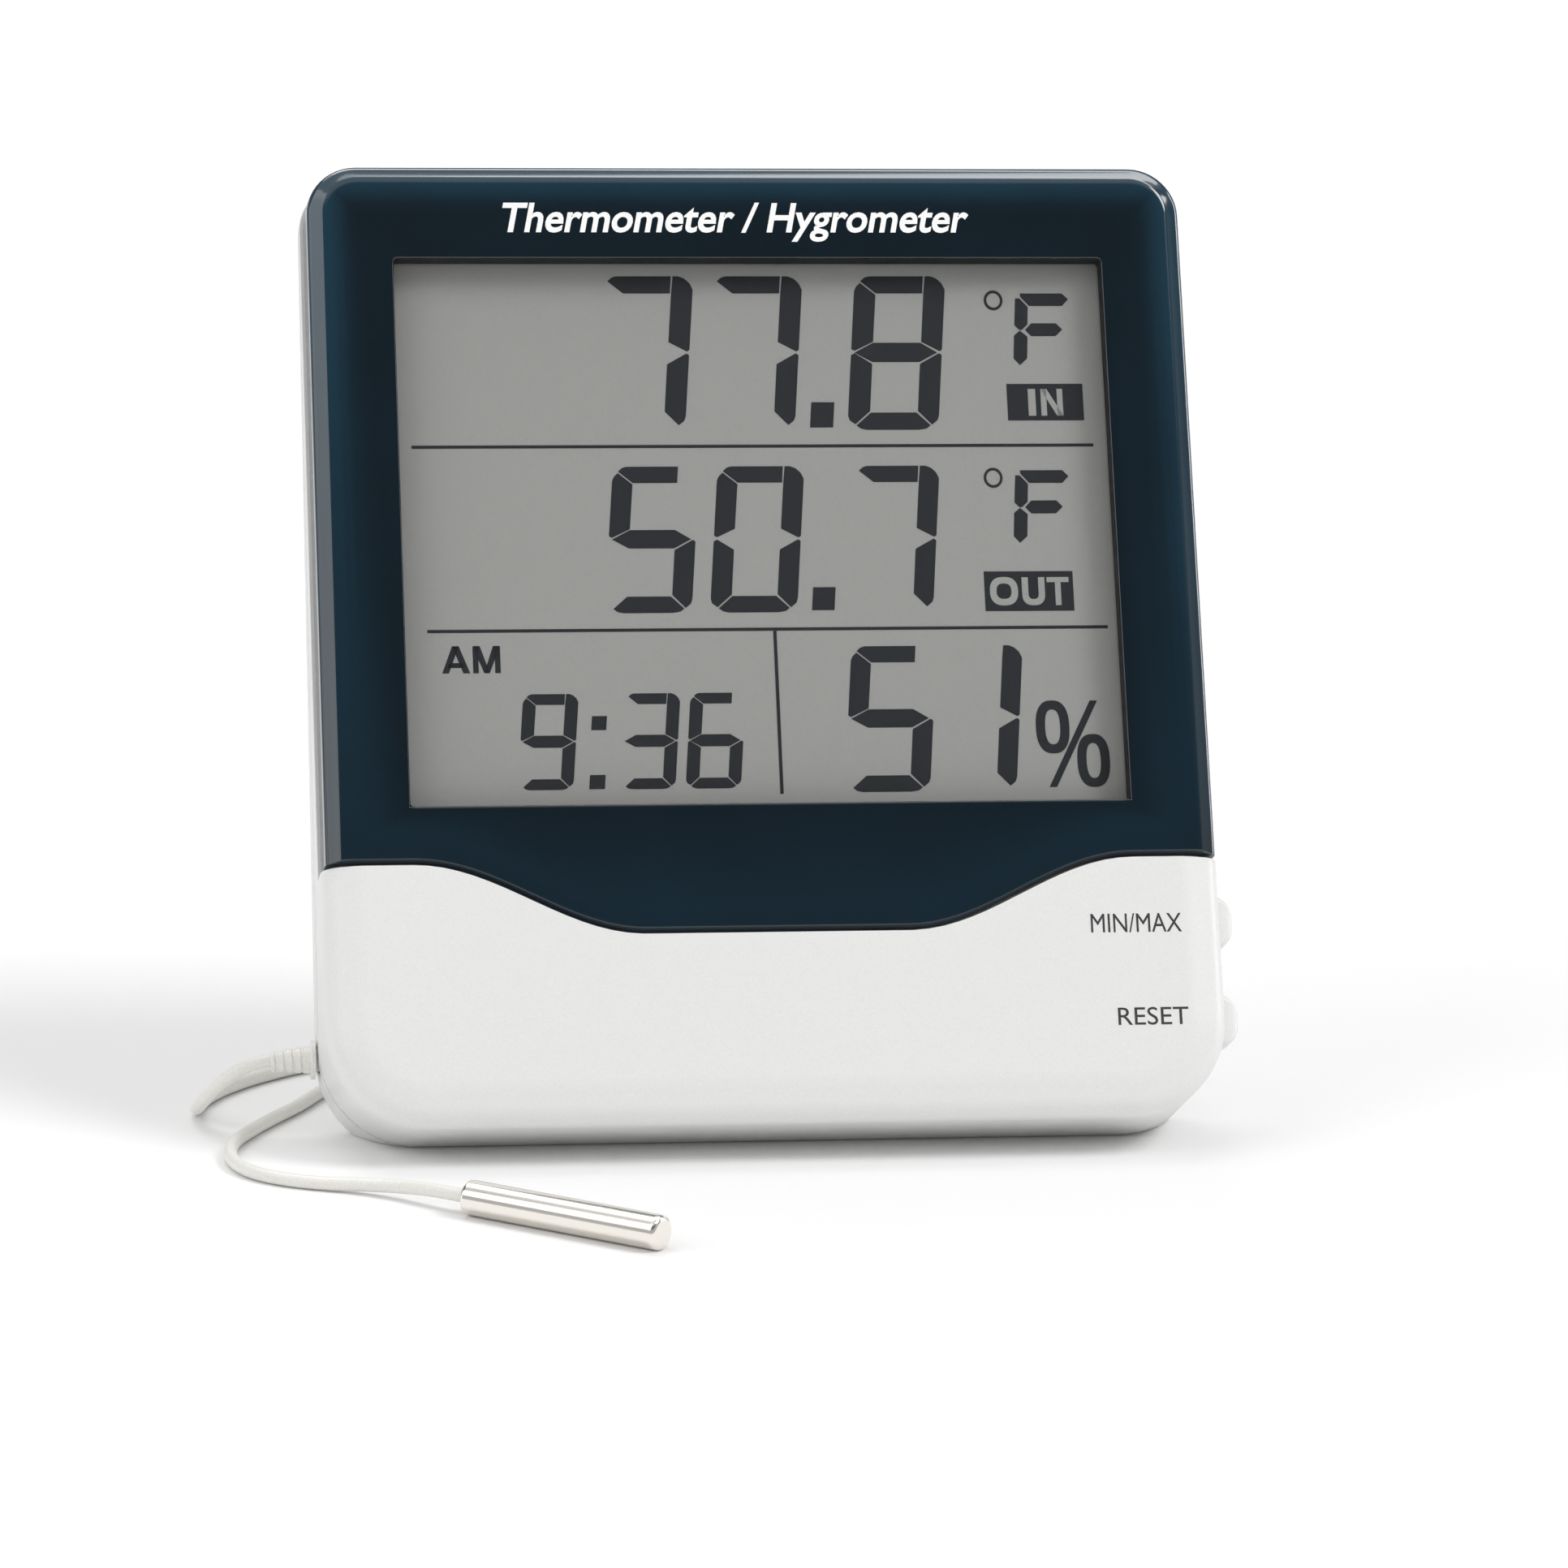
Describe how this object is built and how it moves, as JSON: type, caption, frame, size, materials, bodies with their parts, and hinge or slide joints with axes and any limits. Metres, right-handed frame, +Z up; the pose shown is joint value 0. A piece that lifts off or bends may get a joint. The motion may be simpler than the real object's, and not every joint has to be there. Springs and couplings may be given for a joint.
{
  "type": "maximum minimum thermometer",
  "caption": "Wedge-shaped digital maximum and minimum thermometer with a large display, side keys, a fold-out stand and a wired metal probe for outdoor readings.",
  "frame": {"origin": "on the table, at the bottom centre of the standing case with its stand out, without the cable and probe", "axes": "+X to the display's right, +Y to the rear, +Z up; the case leans back 25 degrees"},
  "size_m": [0.1159, 0.1276, 0.1047],
  "materials": {
    "white_shell": "satin moulded ABS, white",
    "bezel_gloss": "glossy dark navy teal",
    "clear_window": "clear acrylic pane",
    "lcd": "grey liquid crystal display",
    "inner_plastic": "natural moulded plastic",
    "board": "green solder mask",
    "contact_rubber": "layered elastomer",
    "epoxy": "black potting",
    "switch": "black moulded plastic",
    "nickel": "bright nickel",
    "screw_steel": "zinc-plated steel",
    "cell": "printed steel can",
    "red_wire": "red insulation",
    "black_wire": "black insulation",
    "cable_white": "white soft vinyl",
    "tie_white": "white coated tie"
  },
  "bodies": {
    "root": {"front_housing": "white_shell", "bezel": "bezel_gloss", "rear_housing": "white_shell", "display_window": "clear_window", "lcd_panel": "lcd", "lcd_holder": "inner_plastic", "circuit_board": "board", "contact_strip": "contact_rubber", "chip_potting": "epoxy", "quartz_crystal": "nickel", "humidity_sensor": "inner_plastic", "indoor_thermistor": "epoxy", "minmax_switch": "switch", "reset_switch": "switch", "mode_switch": "switch", "set_switch": "switch", "unit_switch": "switch", "board_screw_1": "screw_steel", "board_screw_2": "screw_steel", "board_screw_3": "screw_steel", "board_screw_4": "screw_steel", "battery_cell": "cell", "battery_spring": "nickel", "negative_plate": "nickel", "positive_plate": "nickel", "positive_lead": "red_wire", "negative_lead": "black_wire", "case_screw_1": "screw_steel", "case_screw_2": "screw_steel", "case_screw_3": "screw_steel", "case_screw_4": "screw_steel", "strain_relief": "cable_white", "sensor_lead": "cable_white", "cable_to_coil": "cable_white", "cable_to_probe": "cable_white", "cable_coil": "cable_white", "cable_tie": "tie_white", "probe_tube": "nickel", "probe_seal": "epoxy", "probe_thermistor": "epoxy"},
    "stand": {"stand": "white_shell"},
    "minmax_key": {"minmax_key": "white_shell"},
    "reset_key": {"reset_key": "white_shell"},
    "mode_key": {"mode_key": "white_shell"},
    "set_key": {"set_key": "white_shell"},
    "unit_key": {"unit_key": "white_shell"},
    "battery_door": {"battery_door": "white_shell"}
  },
  "joints": [
    {"name": "stand_hinge", "type": "hinge", "parent": "root", "child": "stand", "pos_m": [-0.0013, 0.0086, 0.05223], "axis": [1, 0, 0], "range_deg": [-29.78, 0]},
    {"name": "minmax_press", "type": "slide", "parent": "root", "child": "minmax_key", "axis": [-1, 0, 0], "range_m": [0, 0.0008], "stiffness_N_per_m": 1200},
    {"name": "reset_press", "type": "slide", "parent": "root", "child": "reset_key", "axis": [-1, 0, 0], "range_m": [0, 0.0008], "stiffness_N_per_m": 1200},
    {"name": "mode_press", "type": "slide", "parent": "root", "child": "mode_key", "axis": [0, -0.941, 0.3385], "range_m": [0, 0.0006], "stiffness_N_per_m": 1500},
    {"name": "set_press", "type": "slide", "parent": "root", "child": "set_key", "axis": [0, -0.941, 0.3385], "range_m": [0, 0.0006], "stiffness_N_per_m": 1500},
    {"name": "unit_press", "type": "slide", "parent": "root", "child": "unit_key", "axis": [0, -0.941, 0.3385], "range_m": [0, 0.0006], "stiffness_N_per_m": 1500},
    {"name": "battery_door_lift", "type": "slide", "parent": "root", "child": "battery_door", "axis": [0, 0.941, -0.3385], "range_m": [0, 0.012]}
  ]
}
